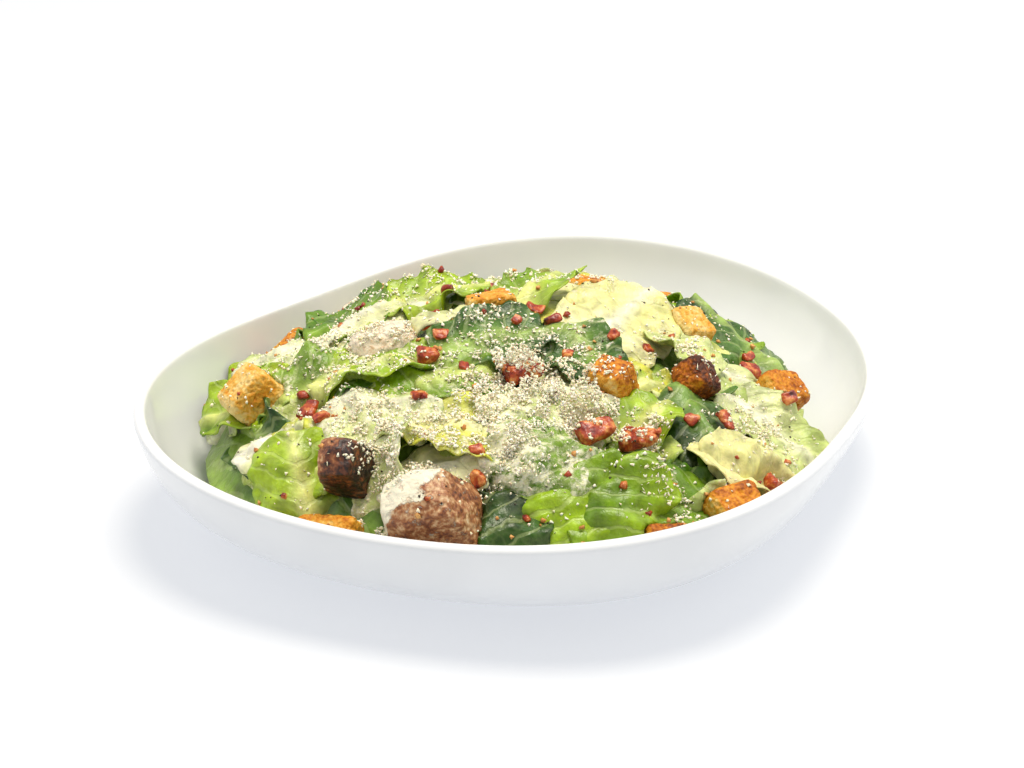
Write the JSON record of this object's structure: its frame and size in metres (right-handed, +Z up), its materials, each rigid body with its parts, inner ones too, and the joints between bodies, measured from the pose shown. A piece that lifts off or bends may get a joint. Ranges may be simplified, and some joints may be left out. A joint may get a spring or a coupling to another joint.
{
  "type": "chicken caesar salad",
  "caption": "Romaine salad with grilled chicken, toasted croutons, crisp bacon and grated hard cheese, heaped in a low white bowl with a wavy rim.",
  "frame": {"origin": "middle of the bowl's flat foot, on the table", "axes": "+Z up, -Y towards the side that the picture shows, +X to the right in it"},
  "size_m": [0.2824, 0.2739, 0.0765],
  "materials": {
    "glaze": "glossy white glaze",
    "romaine": "dressed leaf",
    "toast": "toasted crust",
    "chicken": "grilled",
    "bacon": "crisp"
  },
  "bodies": {
    "root": {"bowl": "glaze", "salad": "romaine", "crouton_left": "toast", "crouton_front_left": "toast", "crouton_top_left": "toast", "crouton_back_right": "toast", "crouton_centre": "toast", "crouton_right": "toast", "crouton_far_right": "toast", "crouton_front_right": "toast", "crouton_low_right": "toast", "crouton_hidden_left": "toast", "crouton_hidden_back": "toast", "crouton_hidden_mid": "toast", "crouton_hidden_right": "toast", "chicken_front": "chicken", "chicken_dark": "chicken", "chicken_back_left": "chicken", "chicken_hidden_back": "chicken", "chicken_hidden_left": "chicken", "bacon_top": "bacon", "bacon_centre_left": "bacon", "bacon_centre_right": "bacon", "bacon_square": "bacon", "bacon_back_left": "bacon", "bacon_left_upper": "bacon", "bacon_left_front": "bacon", "bacon_right_back": "bacon", "bacon_far_right": "bacon", "bacon_sliver": "bacon", "bacon_right_front": "bacon", "bacon_hidden_left": "bacon", "bacon_hidden_mid": "bacon", "bacon_hidden_back": "bacon"}
  },
  "joints": []
}
